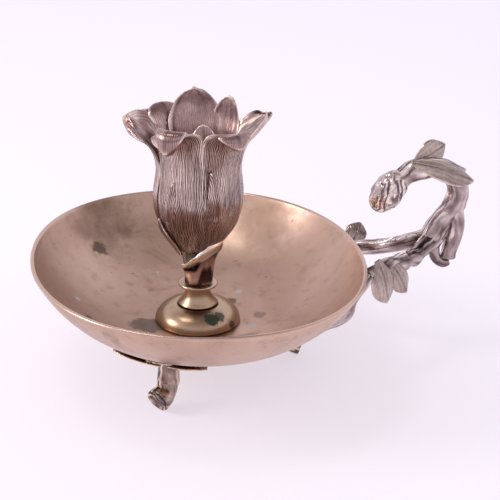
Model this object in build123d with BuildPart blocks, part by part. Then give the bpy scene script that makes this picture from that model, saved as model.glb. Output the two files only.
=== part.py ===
from build123d import *
from math import cos, sin, radians
import os

os.makedirs("parts", exist_ok=True)

# A brass chamberstick: an oval dish on three twig feet, a flower on a turned
# pedestal that holds the candle, and a cut branch curled over as the handle.
# The origin is on the floor under the candle's axis. +X points to the handle.

# ---- driving dimensions, mm ----
RIM_Z = 47.0  # height of the dish's rim
HALF_LENGTH = 65.0  # dish, from the candle's axis to the rim along X
HALF_WIDTH = 73.8  # the same along Y
DISH_FLOOR_Z = 16.0  # underside of the dish at its centre
SEAT_Z = 19.8  # flat seat inside the dish, under the pedestal
SEAT_R = 17.5
LIP = 1.8  # width of the rim
CLEAR_R = 12.0  # nothing trimmed to the dish's outside reaches nearer the axis
WALL_POWER = 3.0  # the wall's curve: higher is flatter in the middle
WALL_FULLNESS = 1 / 1.2
ROD_R = 2.45  # tie rod
ROD_HOLE_R = 2.75
DOME_R = 16.7
SEAM_Z = 26.9  # top of the dome, foot of the neck
SEAM_R = 8.0
NECK_R = 4.4
COLLAR_Z = 34.5
COLLAR_R = 7.7
COLLAR_T = 1.3
FLOWER_Z = COLLAR_Z + COLLAR_T
CUP_TOP_Z = 80.0
CUP_WALL = 1.7
BORE_R = 11.0  # takes a 22 mm candle
SOCKET_WALL = 1.0
SOCKET_MOUTH_Z = 84.0
SOCKET_FLOOR_Z = 60.6
SOCKET_BASE_T = 2.4
PETAL_T = 1.4
FOOT_RADIUS = 37.4  # feet, from the candle's axis
LEG_R = 4.1
TOE_R = 5.0  # the toe's round section, its sole cut flat
TOE_Z = 4.4  # middle of the toe above the floor
TOE_REACH = 7.0  # from the leg's axis to the cut end
TOE_TURN = -22.0  # the toe's turn from straight outward, degrees
LEAF_T = 1.4
STEM_R = 4.3
BRANCH_R = 2.7
FORK_R = 6.4
HOOK_R = 2.3
FORK = (95.7, 0, 45.9)
LONG_AXIS_RATIO = HALF_WIDTH / HALF_LENGTH


# ---- shared shapes ----
def wall_point(k, reach, floor_z, drop=0):
    """A point of the dish's wall: k is 0 on the axis and 1 at the rim."""
    height = RIM_Z - (RIM_Z - floor_z) * (1 - k**WALL_POWER) ** WALL_FULLNESS
    return (k * reach, height - drop)


def wall_points(reach, floor_z, first, last=1.0, drop=0):
    shares = [0, 0.25, 0.45, 0.6, 0.72, 0.82, 0.9, 0.96, 0.99]
    inside = [k for k in shares if first < k < last]
    return [wall_point(k, reach, floor_z, drop) for k in [first] + inside + [last]]


def radial_plane(azimuth):
    """Upright plane through the candle's axis: x is outward, y is up."""
    c, s = cos(radians(azimuth)), sin(radians(azimuth))
    return Plane(origin=(0, 0, 0), x_dir=(c, s, 0), z_dir=(s, -c, 0))


def facing_plane(azimuth):
    """Upright plane across the outward direction: x is sideways, y is up."""
    c, s = cos(radians(azimuth)), sin(radians(azimuth))
    return Plane(origin=(0, 0, 0), x_dir=(-s, c, 0), z_dir=(c, s, 0))


def leaf_plane(root, tip, facing):
    """Plane at a leaf's root, x toward its tip, z near the facing direction."""
    run = (Vector(*tip) - Vector(*root)).normalized()
    facing = Vector(*facing)
    across = facing - run * facing.dot(run)
    return Plane(origin=root, x_dir=run, z_dir=across.normalized())


def leaf_blade(root, tip, facing, width):
    """A leaf with a narrow root, broad beyond its middle, rounded at the tip."""
    length = (Vector(*tip) - Vector(*root)).length
    with BuildPart() as blade:
        with BuildSketch(leaf_plane(root, tip, facing)):
            with BuildLine():
                side = [(0, 1.2), (length * 0.62, width / 2), (length, 0)]
                Spline(side, tangents=[(1, 0.3), (0, -1)])
                mirror(about=Plane.XZ)
                Line((0, 1.2), (0, -1.2))
            make_face()
        extrude(amount=LEAF_T / 2, both=True)
    return blade.part


def twig(points, radius):
    """A round twig along a smooth line, cut square at both ends."""
    with BuildPart() as stick:
        with BuildLine() as run:
            Spline(points)
        with BuildSketch(Plane(origin=run.line @ 0, z_dir=run.line % 0)):
            Circle(radius)
        sweep(path=run.line)
    return stick.part


def peg(start, end, radius):
    """A straight round stub between two points."""
    run = Vector(*end) - Vector(*start)
    with BuildPart() as stub:
        with BuildSketch(Plane(origin=start, z_dir=run)):
            Circle(radius)
        extrude(amount=run.length)
    return stub.part


def finish(piece, label):
    piece.label = label
    export_step(piece, f"parts/{label}.step")


def largest(piece):
    """The main solid of a piece whose trimming left crumbs."""
    return Part(piece.solids().sort_by(SortBy.VOLUME)[-1].wrapped)


# ---- the dish: an oval cast bowl with a flat seat for the pedestal ----
with BuildPart() as dish:
    with BuildSketch(Plane.XZ) as dish_profile:
        with BuildLine():
            outer = wall_points(HALF_LENGTH, DISH_FLOOR_Z, ROD_HOLE_R / HALF_LENGTH)
            inner = wall_points(HALF_LENGTH - LIP, SEAT_Z - 0.45, 0.36)
            Spline(outer, tangents=[(1, 0), (0, 1)])
            Line(outer[-1], inner[-1])
            Spline([(SEAT_R, SEAT_Z)] + inner[1:], tangents=[(1, 0.03), (0, 1)])
            Polyline((SEAT_R, SEAT_Z), (ROD_HOLE_R, SEAT_Z), outer[0])
        make_face()
        fillet(dish_profile.vertices().group_by(Axis.Y)[-1], LIP * 0.3)
    revolve(axis=Axis.Z)
    scale(by=(1, LONG_AXIS_RATIO, 1))
finish(dish.part, "dish")

# Everything that touches the dish from outside is trimmed with this full bowl.
with BuildPart() as bowl_outside:
    with BuildSketch(Plane.XZ):
        with BuildLine():
            trim = wall_points(HALF_LENGTH, DISH_FLOOR_Z, CLEAR_R / HALF_LENGTH)
            Spline(trim, tangents=[(1, 0), (0, 1)])
            Polyline(trim[-1], (HALF_LENGTH, RIM_Z + 6), (CLEAR_R, RIM_Z + 6), trim[0])
        make_face()
    revolve(axis=Axis.Z)
    scale(by=(1, LONG_AXIS_RATIO, 1))

# The skin just under the dish that the feet's leaves are cut from, and the
# space from that skin's underside upward, which trims the feet.
SKIN_REACH = 0.9
under = wall_points(HALF_LENGTH, DISH_FLOOR_Z, CLEAR_R / HALF_LENGTH, SKIN_REACH, LEAF_T)
skin_top = wall_points(HALF_LENGTH, DISH_FLOOR_Z, CLEAR_R / HALF_LENGTH, SKIN_REACH)

with BuildPart() as under_skin:
    with BuildSketch(Plane.XZ):
        with BuildLine():
            Spline(under, tangents=[(1, 0), (0.7, 1)])
            Line(under[-1], skin_top[-1])
            Spline(skin_top, tangents=[(1, 0), (0.7, 1)])
            Line(skin_top[0], under[0])
        make_face()
    revolve(axis=Axis.Z)
    scale(by=(1, LONG_AXIS_RATIO, 1))

with BuildPart() as above_skin:
    with BuildSketch(Plane.XZ):
        with BuildLine():
            Spline(under, tangents=[(1, 0), (0.7, 1)])
            Polyline(under[-1], (under[-1][0], RIM_Z), (CLEAR_R, RIM_Z), under[0])
        make_face()
    revolve(axis=Axis.Z)
    scale(by=(1, LONG_AXIS_RATIO, 1))

# ---- turned pedestal: dome, neck and collar, all threaded on the tie rod ----
with BuildPart() as base_dome:
    with BuildSketch(Plane.XZ):
        with BuildLine():
            ThreePointArc((DOME_R, SEAT_Z + 0.6), (13.6, 24.1), (SEAM_R, SEAM_Z))
            Polyline(
                (SEAM_R, SEAM_Z),
                (ROD_HOLE_R, SEAM_Z),
                (ROD_HOLE_R, SEAT_Z),
                (DOME_R, SEAT_Z),
                (DOME_R, SEAT_Z + 0.6),
            )
        make_face()
    revolve(axis=Axis.Z)
finish(base_dome.part, "base_dome")

with BuildPart() as neck_spool:
    with BuildSketch(Plane.XZ):
        with BuildLine():
            Spline(
                (SEAM_R - 0.3, SEAM_Z),
                (NECK_R + 0.5, 30.2),
                (NECK_R, 32.6),
                (NECK_R + 0.5, COLLAR_Z),
                tangents=[(-1, 0.5), (0.5, 1)],
            )
            Polyline(
                (NECK_R + 0.5, COLLAR_Z),
                (ROD_HOLE_R, COLLAR_Z),
                (ROD_HOLE_R, SEAM_Z),
                (SEAM_R - 0.3, SEAM_Z),
            )
        make_face()
    revolve(axis=Axis.Z)
finish(neck_spool.part, "neck_spool")

with BuildPart() as collar_ring:
    with BuildSketch(Plane.XY.offset(COLLAR_Z)):
        Circle(COLLAR_R)
        Circle(ROD_HOLE_R, mode=Mode.SUBTRACT)
    extrude(amount=COLLAR_T)
    fillet(collar_ring.edges().filter_by(GeomType.CIRCLE).group_by(SortBy.RADIUS)[-1], COLLAR_T * 0.4)
finish(collar_ring.part, "collar_ring")

# ---- flower: a closed cup below, six petals above ----
CUP_OUTLINE = [(4.8, FLOWER_Z), (5.6, 42.3), (7.4, 49.3), (9.6, 54.4), (12.7, 57.9)]
CUP_OUTLINE += [(15.8, 63.6), (16.9, 70.8), (17.4, CUP_TOP_Z)]
SOCKET_BASE_Z = SOCKET_FLOOR_Z - SOCKET_BASE_T

with BuildPart() as flower_cup:
    with BuildSketch(Plane.XZ):
        with BuildLine():
            Spline(CUP_OUTLINE, tangents=[(0.05, 1), (0, 1)])
            Line((17.4, CUP_TOP_Z), (17.4 - CUP_WALL, CUP_TOP_Z))
            Spline(
                (17.4 - CUP_WALL, CUP_TOP_Z),
                (16.9 - CUP_WALL, 70.8),
                (15.8 - CUP_WALL, 63.8),
                (BORE_R + SOCKET_WALL, SOCKET_BASE_Z + 2.0),
                tangents=[(0, -1), (-1, -1)],
            )
            Polyline(
                (BORE_R + SOCKET_WALL, SOCKET_BASE_Z + 2.0),
                (BORE_R - 2.5, SOCKET_BASE_Z),
                (ROD_HOLE_R, SOCKET_BASE_Z),
                (ROD_HOLE_R, FLOWER_Z),
                (4.8, FLOWER_Z),
            )
        make_face()
    revolve(axis=Axis.Z)
finish(flower_cup.part, "flower_cup")

# Petals: azimuth of the middle and half of the petal's span, degrees, then
# the reach and the height of the tip.
PETALS = {
    "petal_left": (151, 42, 27.5, 100.0),
    "petal_front_left": (229, 30, 25.5, 102.0),
    "petal_front_right": (295, 30, 25.0, 101.0),
    "petal_right": (355, 26, 27.5, 104.0),
    "petal_back_right": (43, 18, 20.5, 106.5),
    "petal_back": (84, 20, 17.8, 108.5),
}
PETAL_ROOT_R = 17.4


def petal(azimuth, half_span, reach, tip_z):
    """One petal: a thin shell turned about the candle's axis, cut to a rounded point."""
    root = (PETAL_ROOT_R, CUP_TOP_Z)
    belly = (PETAL_ROOT_R + (reach - PETAL_ROOT_R) * 0.35, CUP_TOP_Z + (tip_z - CUP_TOP_Z) * 0.6)
    tip = (reach, tip_z)
    half_width = PETAL_ROOT_R * sin(radians(half_span))
    with BuildPart() as shell:
        with BuildSketch(radial_plane(azimuth - half_span)):
            with BuildLine():
                Spline(root, belly, tip, tangents=[(0, 1), (0.6, 0.8)])
                Line(tip, (tip[0] - PETAL_T, tip[1]))
                Spline(
                    (tip[0] - PETAL_T, tip[1]),
                    (belly[0] - PETAL_T, belly[1]),
                    (root[0] - PETAL_T, root[1]),
                    tangents=[(-0.6, -0.8), (0, -1)],
                )
                Line((root[0] - PETAL_T, root[1]), root)
            make_face()
        revolve(axis=Axis.Z, revolution_arc=2 * half_span)
        with BuildSketch(facing_plane(azimuth)):
            with BuildLine():
                shoulder_z = CUP_TOP_Z + (tip_z - CUP_TOP_Z) * 0.62
                low_z = CUP_TOP_Z - 1
                Spline(
                    (half_width, low_z),
                    (half_width * 1.05, shoulder_z),
                    (0, tip_z + 0.4),
                    tangents=[(0, 1), (-1, 0.1)],
                )
                mirror(about=Plane.YZ)
                Line((half_width, low_z), (-half_width, low_z))
            make_face()
        extrude(amount=reach + 5, mode=Mode.INTERSECT)
    return shell.part


for name, (azimuth, half_span, reach, tip_z) in PETALS.items():
    finish(largest(petal(azimuth, half_span, reach, tip_z)), name)

# A rolled sheath leaf wraps the front of the flower's stem.
SHEATH_AZIMUTH = 285
SHEATH_SPAN = 150
with BuildPart() as stem_sheath_leaf:
    with BuildSketch(radial_plane(SHEATH_AZIMUTH - SHEATH_SPAN / 2)):
        with BuildLine():
            Spline((7.0, 37.5), (8.2, 46), (11.2, 53.0), tangents=[(0, 1), (0.7, 1)])
            Polyline((11.2, 53.0), (4, 53.0), (4, 37.5), (7.0, 37.5))
        make_face()
    revolve(axis=Axis.Z, revolution_arc=SHEATH_SPAN)
    add(flower_cup.part, mode=Mode.SUBTRACT)
    with BuildSketch(facing_plane(SHEATH_AZIMUTH)):
        with BuildLine():
            Polyline((-3.5, 37), (3.5, 37), (8.5, 47))
            ThreePointArc((8.5, 47), (3.0, 52.5), (-7.5, 46))
            Line((-7.5, 46), (-3.5, 37))
        make_face()
    extrude(amount=20, mode=Mode.INTERSECT)
finish(largest(stem_sheath_leaf.part), "stem_sheath_leaf")

# ---- candle socket: a drawn cup inside the flower, screwed down by the rod ----
HEAD_R = 4.6
HEAD_T = 2.0
SCREW_SLOT = 1.0

with BuildPart() as candle_socket:
    with BuildSketch(Plane.XZ):
        with BuildLine():
            Polyline(
                (ROD_HOLE_R, SOCKET_BASE_Z),
                (BORE_R - 2.5, SOCKET_BASE_Z),
                (BORE_R + SOCKET_WALL, SOCKET_BASE_Z + 2.0),
                (BORE_R + SOCKET_WALL, SOCKET_MOUTH_Z),
                (BORE_R, SOCKET_MOUTH_Z),
                (BORE_R, SOCKET_FLOOR_Z),
                (HEAD_R + 0.3, SOCKET_FLOOR_Z),
                (ROD_HOLE_R, SOCKET_FLOOR_Z - HEAD_T),
                close=True,
            )
        make_face()
    revolve(axis=Axis.Z)
finish(candle_socket.part, "candle_socket")

# ---- tie rod, washer and nut clamp the whole pedestal to the dish ----
WASHER_R = 8.0
WASHER_T = 1.2
NUT_FLATS = 8.0
NUT_T = 4.0
WASHER_Z = DISH_FLOOR_Z - WASHER_T
NUT_Z = WASHER_Z - NUT_T
ROD_END_Z = NUT_Z - 1.5

with BuildPart() as tie_rod:
    with BuildSketch(Plane.XZ):
        with BuildLine():
            Polyline(
                (0, ROD_END_Z),
                (ROD_R - 0.4, ROD_END_Z),
                (ROD_R, ROD_END_Z + 0.4),
                (ROD_R, SOCKET_FLOOR_Z - HEAD_T),
                (HEAD_R, SOCKET_FLOOR_Z - 0.1),
                (0, SOCKET_FLOOR_Z - 0.1),
                close=True,
            )
        make_face()
    revolve(axis=Axis.Z)
    with Locations((0, 0, SOCKET_FLOOR_Z)):
        Box(2 * HEAD_R + 1, SCREW_SLOT, 2 * SCREW_SLOT, mode=Mode.SUBTRACT)
finish(tie_rod.part, "tie_rod")

with BuildPart() as tie_washer:
    with BuildSketch(Plane.XY.offset(WASHER_Z)):
        Circle(WASHER_R)
        Circle(ROD_HOLE_R, mode=Mode.SUBTRACT)
    extrude(amount=WASHER_T)
finish(tie_washer.part, "tie_washer")

with BuildPart() as tie_nut:
    with BuildSketch(Plane.XY.offset(NUT_Z)):
        RegularPolygon(NUT_FLATS / 2, 6, major_radius=False)
        Circle(ROD_R, mode=Mode.SUBTRACT)
    extrude(amount=NUT_T)
finish(tie_nut.part, "tie_nut")

# ---- handle: a cut branch that forks to the dish and curls over to a bud ----
STEM_LINE = [FORK, (99.4, 0, 52.6), (104.1, 0, 58.2), (105.8, 0, 63.7), (105.4, 0, 68.8)]
STEM_LINE += [(102.0, 0, 73.7), (96.7, 0, 76.2), (91.3, 0, 75.3), (86.0, 0, 73.6), (81.5, 0, 72.2)]
BUD_TOP = (80.3, 0, 71.6)
BUD_TIP = (74.2, 0, 60.0)
BUD_R = 6.2
PRUNED_TOP = (103.6, 0, 58.5)
PRUNED_END = (103.6, 0, 38.2)
HOOK_ELBOW = (99.0, 0, 36.4)
HOOK_END = (104.0, 0, 35.4)

with BuildPart() as fork_knot:
    with Locations(FORK):
        Sphere(FORK_R)

with BuildPart() as handle_stem:
    add(twig(STEM_LINE, STEM_R))
    add(fork_knot.part)
    add(peg(PRUNED_TOP, PRUNED_END, STEM_R * 0.8))
    add(peg(FORK, HOOK_ELBOW, HOOK_R))
    add(peg(HOOK_ELBOW, HOOK_END, HOOK_R))
finish(largest(handle_stem.part), "handle_stem")

bud_axis = Vector(*BUD_TIP) - Vector(*BUD_TOP)
with BuildPart() as handle_bud:
    with BuildSketch(Plane(origin=BUD_TOP, x_dir=(0, 1, 0), z_dir=bud_axis.cross(Vector(0, 1, 0)))):
        with BuildLine():
            drop = [(3.0, 0), (BUD_R, bud_axis.length * 0.55), (0, bud_axis.length + 1.5)]
            Spline(drop, tangents=[(1, 0.9), (-1, 0)])
            Polyline((3.0, 0), (0, 0), (0, bud_axis.length + 1.5))
        make_face()
    revolve(axis=Axis(BUD_TOP, bud_axis))
    add(handle_stem.part, mode=Mode.SUBTRACT)
finish(largest(handle_bud.part), "handle_bud")

BRANCHES = {
    "handle_branch_front": [FORK, (86.0, -6.5, 41.5), (76.0, -13.0, 41.5), (60.0, -23.0, 43.5)],
    "handle_branch_rear": [FORK, (86.0, 5.5, 42.0), (74.0, 12.5, 38.8), (54.0, 24.5, 36.0)],
}
branches = []
for name, line in BRANCHES.items():
    with BuildPart() as branch:
        add(twig(line, BRANCH_R))
        add(fork_knot.part, mode=Mode.SUBTRACT)
        add(bowl_outside.part, mode=Mode.SUBTRACT)
    branches.append(largest(branch.part))
    finish(branches[-1], name)

# ---- leaves of the handle: root, tip, facing, width, then the pieces they rest on ----
BUD_LEAVES = {
    "bud_leaf_upper": ((86.5, 3.0, 79.6), (99.5, 7.0, 87.0), (0, -1, 0.3), 12.0),
    "bud_leaf_front": ((85.5, -4.0, 79.0), (109.6, -6.6, 70.9), (0.2, -0.8, 0.9), 10.0),
    "bud_leaf_rear": ((86.0, 4.4, 77.8), (109.6, 6.0, 71.8), (0.2, 0.8, 0.9), 10.0),
}
BRANCH_LEAVES = {
    "branch_leaf_lower": ((68.0, -19.5, 39.0), (70.5, -21.5, 28.0), (0.5, -1, 0.1), 10.5),
    "branch_leaf_upper": ((75.0, -16.0, 38.6), (79.6, -16.5, 29.4), (0.5, -1, 0.1), 8.5),
    "branch_leaf_rear": ((69.0, 20.5, 38.0), (73.6, 26.0, 44.4), (-1, 0.8, 0.4), 10.0),
}
leaf_groups = [
    (BUD_LEAVES, [handle_stem.part, handle_bud.part]),
    (BRANCH_LEAVES, branches + [bowl_outside.part]),
]
for leaves, neighbours in leaf_groups:
    for name, (root, tip, facing, width) in leaves.items():
        with BuildPart() as leaf:
            add(leaf_blade(root, tip, facing, width))
            for neighbour in neighbours:
                add(neighbour, mode=Mode.SUBTRACT)
        finish(largest(leaf.part), name)


# ---- two thin twigs brazed along the outside of the dish ----
def dish_twig(azimuths, level, radius):
    """A twig that follows the dish's wall from one azimuth to another."""
    line = []
    for share in (0, 0.33, 0.67, 1):
        azimuth = azimuths[0] + (azimuths[1] - azimuths[0]) * share
        k = level[0] + (level[1] - level[0]) * share
        reach, height = wall_point(k, HALF_LENGTH + radius * 0.5, DISH_FLOOR_Z)
        c, s = cos(radians(azimuth)), sin(radians(azimuth))
        line.append((reach * c, reach * s * LONG_AXIS_RATIO, height))
    return twig(line, radius)


TWIGS = {
    "dish_twig_front": dish_twig((-22, -46), (0.955, 0.80), 1.7),
    "dish_twig_rear": dish_twig((24, 50), (0.945, 0.955), 1.5),
}
for name, stick in TWIGS.items():
    with BuildPart() as trimmed_twig:
        add(stick)
        for neighbour in branches + [bowl_outside.part]:
            add(neighbour, mode=Mode.SUBTRACT)
    finish(largest(trimmed_twig.part), name)

# ---- three feet: a cut twig that stands on its toe, under a spray of leaves ----
FOOT_AZIMUTHS = {"front": -120, "rear": 120, "handle": 0}
LEG_TOP_Z = 24.0
SPRAY_TOP = [(-24, 3.5), (-9, -5.5), (6, -6.0), (19, -1.5)]
SPRAY_FOOT = [(19, -1.5), (6, 5.5), (-9, 6.5), (-24, 3.5)]

for name, azimuth in FOOT_AZIMUTHS.items():
    c, s = cos(radians(azimuth)), sin(radians(azimuth))
    leg_x, leg_y = FOOT_RADIUS * c, FOOT_RADIUS * s
    toe_c, toe_s = cos(radians(azimuth + TOE_TURN)), sin(radians(azimuth + TOE_TURN))
    heel = (leg_x - TOE_REACH / 2 * toe_c, leg_y - TOE_REACH / 2 * toe_s, TOE_Z)
    toe = (leg_x + TOE_REACH * toe_c, leg_y + TOE_REACH * toe_s, TOE_Z)

    with BuildPart() as foot_leaf:
        with BuildSketch(Plane(origin=(leg_x, leg_y, 0), x_dir=(-s, c, 0), z_dir=(0, 0, 1))):
            with BuildLine():
                Spline(SPRAY_TOP, tangents=[(1, -0.9), (1, 0.9)])
                Spline(SPRAY_FOOT, tangents=[(-1, 0.9), (-1, -0.5)])
            make_face()
        extrude(amount=RIM_Z)
        add(under_skin.part, mode=Mode.INTERSECT)
    finish(largest(foot_leaf.part), f"foot_leaf_{name}")

    with BuildPart() as foot:
        add(peg((leg_x, leg_y, LEG_TOP_Z), (leg_x, leg_y, TOE_Z), LEG_R))
        add(peg(heel, toe, TOE_R))
        with Locations((leg_x, leg_y, 0)):
            below = (Align.CENTER, Align.CENTER, Align.MAX)
            Box(8 * TOE_R, 8 * TOE_R, 2 * TOE_R, align=below, mode=Mode.SUBTRACT)
        add(above_skin.part, mode=Mode.SUBTRACT)
    finish(largest(foot.part), f"foot_{name}")
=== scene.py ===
# %% [markdown]
# # A brass chamberstick
# The object is an oval cast dish on three twig feet. A flower stands in it on a turned
# pedestal and holds the candle, and a cut branch with leaves curls over as the handle.
# The CAD frame gives every place and size. Here each plain solid gets its finished form,
# cell by cell: first the tools, then the pieces, then the metal, the light and the camera.

# %% Load the frame
from math import atan2, cos, exp, hypot, pi, radians, sin

import bmesh
import bpy
from mathutils import Matrix, Vector, noise


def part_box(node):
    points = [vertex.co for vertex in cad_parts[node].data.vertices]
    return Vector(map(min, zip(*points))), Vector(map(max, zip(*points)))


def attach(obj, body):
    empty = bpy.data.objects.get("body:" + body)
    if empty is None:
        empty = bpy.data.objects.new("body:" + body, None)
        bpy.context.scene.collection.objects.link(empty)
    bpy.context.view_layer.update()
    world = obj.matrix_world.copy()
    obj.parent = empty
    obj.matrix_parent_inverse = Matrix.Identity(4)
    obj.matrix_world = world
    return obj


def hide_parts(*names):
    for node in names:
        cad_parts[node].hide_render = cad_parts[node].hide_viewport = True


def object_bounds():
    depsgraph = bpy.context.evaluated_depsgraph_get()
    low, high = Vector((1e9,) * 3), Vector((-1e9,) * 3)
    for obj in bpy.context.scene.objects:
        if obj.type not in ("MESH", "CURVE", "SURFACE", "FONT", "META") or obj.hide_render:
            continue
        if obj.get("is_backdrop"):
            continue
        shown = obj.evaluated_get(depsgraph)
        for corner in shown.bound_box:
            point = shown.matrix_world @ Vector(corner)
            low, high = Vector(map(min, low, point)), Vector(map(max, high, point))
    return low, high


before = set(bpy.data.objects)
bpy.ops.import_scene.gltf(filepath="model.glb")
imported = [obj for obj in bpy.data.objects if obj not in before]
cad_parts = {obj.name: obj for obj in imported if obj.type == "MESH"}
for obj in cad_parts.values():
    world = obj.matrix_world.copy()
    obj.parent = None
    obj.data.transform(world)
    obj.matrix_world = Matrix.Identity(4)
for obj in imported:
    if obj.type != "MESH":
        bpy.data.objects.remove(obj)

cad_low, cad_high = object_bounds()
MM = 0.001
print("CAD box, mm:", [round((b - a) / MM, 1) for a, b in zip(cad_low, cad_high)])

# %% [markdown]
# ## Sizes from the frame
# The dish's box gives its rim and its two half axes, and the other turned pieces give
# their heights. The wall's curve is the same formula as the cast dish has: k is 0 at the
# candle's axis and 1 at the rim.

# %% Measure the frame
dish_low, dish_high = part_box("dish")
RIM_Z = dish_high.z / MM
HALF_LENGTH = dish_high.x / MM
HALF_WIDTH = dish_high.y / MM
UNDERSIDE_Z = dish_low.z / MM
SEAT_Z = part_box("base_dome")[0].z / MM
DOME_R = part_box("base_dome")[1].x / MM
SEAM_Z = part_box("base_dome")[1].z / MM
COLLAR_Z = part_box("collar_ring")[0].z / MM
COLLAR_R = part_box("collar_ring")[1].x / MM
FLOWER_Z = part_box("flower_cup")[0].z / MM
CUP_TOP_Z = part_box("flower_cup")[1].z / MM
LIP = 1.8
ROD_HOLE_R = 2.75


def wall_z(k, floor_z=UNDERSIDE_Z):
    """Height of the dish's wall at a share k of the way out to the rim."""
    k = min(max(k, 0.0), 1.0)
    return RIM_Z - (RIM_Z - floor_z) * (1 - k**3) ** (1 / 1.2)


def underside(x, y):
    """Height of the dish's outer face over a point of the floor."""
    return wall_z(hypot(x / HALF_LENGTH, y / HALF_WIDTH))


print("dish, mm:", round(HALF_LENGTH, 1), round(HALF_WIDTH, 1), round(RIM_Z, 1))

# %% [markdown]
# ## Tools for shaping
# Cast and chased pieces are all made the same way. A flat grid is laid over the piece by a
# short formula, then welded, thickened or capped with bmesh operators. Two things are
# written on every point as attributes for the metal to read: *grain*, the place along and
# across the piece in millimetres, which chased lines follow, and *relief*, which is 1 on
# a rubbed ridge and -1 in a hollow where dirt stays; on the sheath leaf it also carries painted shade under
# the rolled lip.


# %% Shaping helpers
def through(stations, share):
    """The tuple that lies a share of the way through a list of tuples, on a smooth curve."""
    last = len(stations) - 1
    place = min(max(share, 0.0), 1.0) * last
    i = min(int(place), last - 1)
    f = place - i
    a, b = stations[max(i - 1, 0)], stations[i]
    c, d = stations[i + 1], stations[min(i + 2, last)]
    ends = zip(a, b, c, d)
    return [0.5 * (2 * q + (r - p) * f + (2 * p - 5 * q + 4 * r - t) * f**2
                   + (3 * q - p - 3 * r + t) * f**3) for p, q, r, t in ends]


def smooth(low, high, value):
    """0 below low, 1 above high and an S-curve between."""
    f = min(max((value - low) / (high - low), 0.0), 1.0)
    return f * f * (3 - 2 * f)


def rounded(share, start):
    """A width factor that closes a blade's end like a half circle from start on."""
    over = max(share - start, 0.0) / (1 - start)
    return max(1 - over * over, 0.0004) ** 0.5


def bump_at(centre, width, value):
    """A round hump of height 1 about a centre."""
    return exp(-(((value - centre) / width) ** 2))


def new_mesh():
    """An empty bmesh with the two attributes that the metal reads."""
    bm = bmesh.new()
    return bm, bm.verts.layers.float_vector.new("grain"), bm.verts.layers.float.new("relief")


def settle(bm, name, node, slot):
    """Turns a finished bmesh into a piece that rides on the frame in a node's place."""
    mesh = bpy.data.meshes.new(name)
    for face in bm.faces:
        face.smooth = True
    bm.to_mesh(mesh)
    bm.free()
    piece = bpy.data.objects.new(name, mesh)
    bpy.context.scene.collection.objects.link(piece)
    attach(piece, "root")
    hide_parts(node)
    piece.data.materials.append(METALS[slot])
    print(name, len(mesh.polygons), "faces")
    return piece


def laid_grid(bm, across, along, place):
    """A grid whose points go where place(t, s) says; t runs -1 to 1, s runs 0 to 1.

    place gives the point in mm, its grain and its relief."""
    grain = bm.verts.layers.float_vector["grain"]
    relief = bm.verts.layers.float["relief"]
    made = bmesh.ops.create_grid(bm, x_segments=across, y_segments=along, size=1)["verts"]
    for vert in made:
        spot, lines, height = place(vert.co.x, (vert.co.y + 1) / 2)
        vert.co = Vector(spot) * MM
        vert[grain] = lines
        vert[relief] = height
    return made


def laid_blade(bm, across, along, place, thickness, thin=0.35):
    """A closed blade about the sheet place(t, s), with rounded edges.

    The grid goes round the blade: t follows its middle sheet out and back, and the wall
    stands off along the sheet's own normal. It thins toward the tip."""

    def wrapped(turn, row):
        t = cos(pi * turn)
        s = 1 - (1 - row) ** 1.5  # rows crowd toward the tip, where the outline closes
        spot, lines, wear_and_painted_shade = place(t, s)
        beside = place(t - 0.02 if t > 0 else t + 0.02, s)[0]
        ahead = place(t, s - 0.02 if s > 0.5 else s + 0.02)[0]
        run = (Vector(ahead) - Vector(spot)) * (-1 if s > 0.5 else 1)
        side = (Vector(beside) - Vector(spot)) * (-1 if t > 0 else 1)
        normal = side.cross(run)
        if normal.length > 1e-9:
            normal.normalize()
        lift = min(1.0, 1.9 * abs(sin(pi * turn))) * (1 if turn > 0 else -1)
        wall = 0.5 * thickness * (1 - thin * smooth(0.5, 1.0, s))
        return Vector(spot) + normal * lift * wall, lines, wear_and_painted_shade

    return laid_grid(bm, across * 2, along, wrapped)


def capped(bm):
    """Welds a wrapped grid's seam, fills its open ends and turns its faces out."""
    bmesh.ops.remove_doubles(bm, verts=bm.verts, dist=0.002 * MM)
    open_edges = [edge for edge in bm.edges if edge.is_boundary]
    ends = bmesh.ops.holes_fill(bm, edges=open_edges, sides=0)["faces"]
    bmesh.ops.recalc_face_normals(bm, faces=bm.faces)
    return ends


# %% [markdown]
# ## Tools for metal
# A finish is a small tree of nodes, and it reads best as arithmetic. A Shade is one output
# of the tree. Adding or multiplying Shades makes the Math nodes, so a mask is written as
# stains * (1 - rubbed). Every other node comes from Finish.node.


# %% Shader helpers
class Shade:
    """One output of a finish, for arithmetic."""

    def __init__(self, finish, socket):
        self.finish = finish
        self.socket = socket

    def math(self, operation, first, second):
        return self.finish.node("ShaderNodeMath", {"operation": operation}, {0: first, 1: second})

    def __add__(self, other):
        return self.math("ADD", self, other)

    def __radd__(self, other):
        return self.math("ADD", other, self)

    def __sub__(self, other):
        return self.math("SUBTRACT", self, other)

    def __rsub__(self, other):
        return self.math("SUBTRACT", other, self)

    def __mul__(self, other):
        return self.math("MULTIPLY", self, other)

    def __rmul__(self, other):
        return self.math("MULTIPLY", other, self)

    def __pow__(self, other):
        return self.math("POWER", self, other)


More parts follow.
